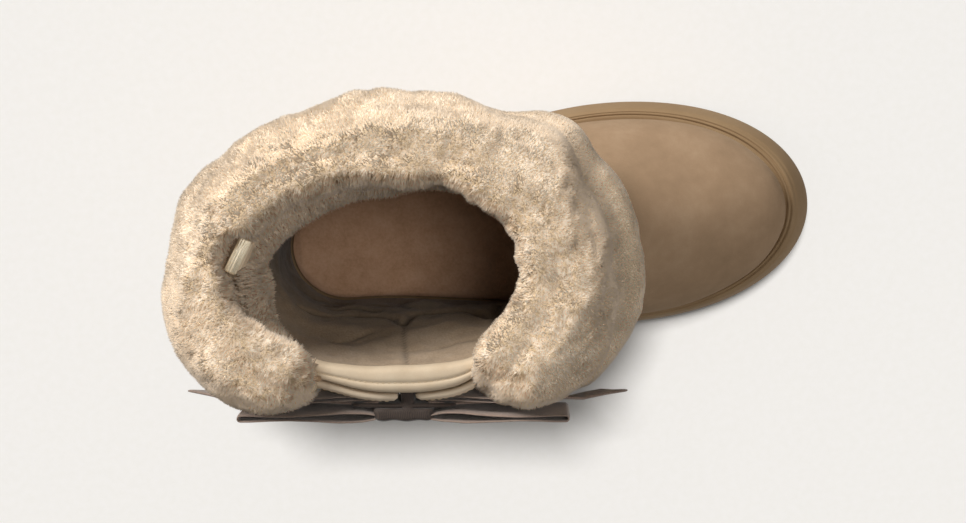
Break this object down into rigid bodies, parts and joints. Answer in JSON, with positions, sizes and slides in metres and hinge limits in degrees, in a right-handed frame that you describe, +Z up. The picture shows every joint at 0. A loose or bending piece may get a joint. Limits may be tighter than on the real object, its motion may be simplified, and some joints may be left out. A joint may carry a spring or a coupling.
{
  "type": "sheepskin ankle boot",
  "caption": "Ankle boot with a hollow suede upper, a thick turned-down wool cuff open on the outer side over a padded gusset, a ribbon bow and a flared foam sole.",
  "frame": {"origin": "on the floor, under the middle of the heel's tread", "axes": "+X from heel to toe, +Y towards the inner (big toe) side, +Z up"},
  "size_m": [0.3033, 0.1506, 0.173],
  "materials": {
    "outsole_rubber": "matt, light brown",
    "sole_foam": "matt moulded foam, light brown",
    "footbed": "short fleece, pinkish brown",
    "suede": "napped suede, sand",
    "wool": "deep sheared wool, cream",
    "ribbon": "woven ribbon, mauve brown",
    "clip_metal": "satin champagne"
  },
  "bodies": {
    "root": {"outsole": "outsole_rubber", "midsole": "sole_foam", "insole": "footbed", "upper": "suede", "gusset": "suede", "cuff": "wool", "tab_heel": "suede", "tab_toe": "suede", "bow_loop_heel": "ribbon", "bow_loop_toe": "ribbon", "bow_tail_heel": "ribbon", "bow_tail_toe": "ribbon", "bow_knot": "ribbon", "heel_tab": "suede", "metal_clip": "clip_metal"}
  },
  "joints": []
}
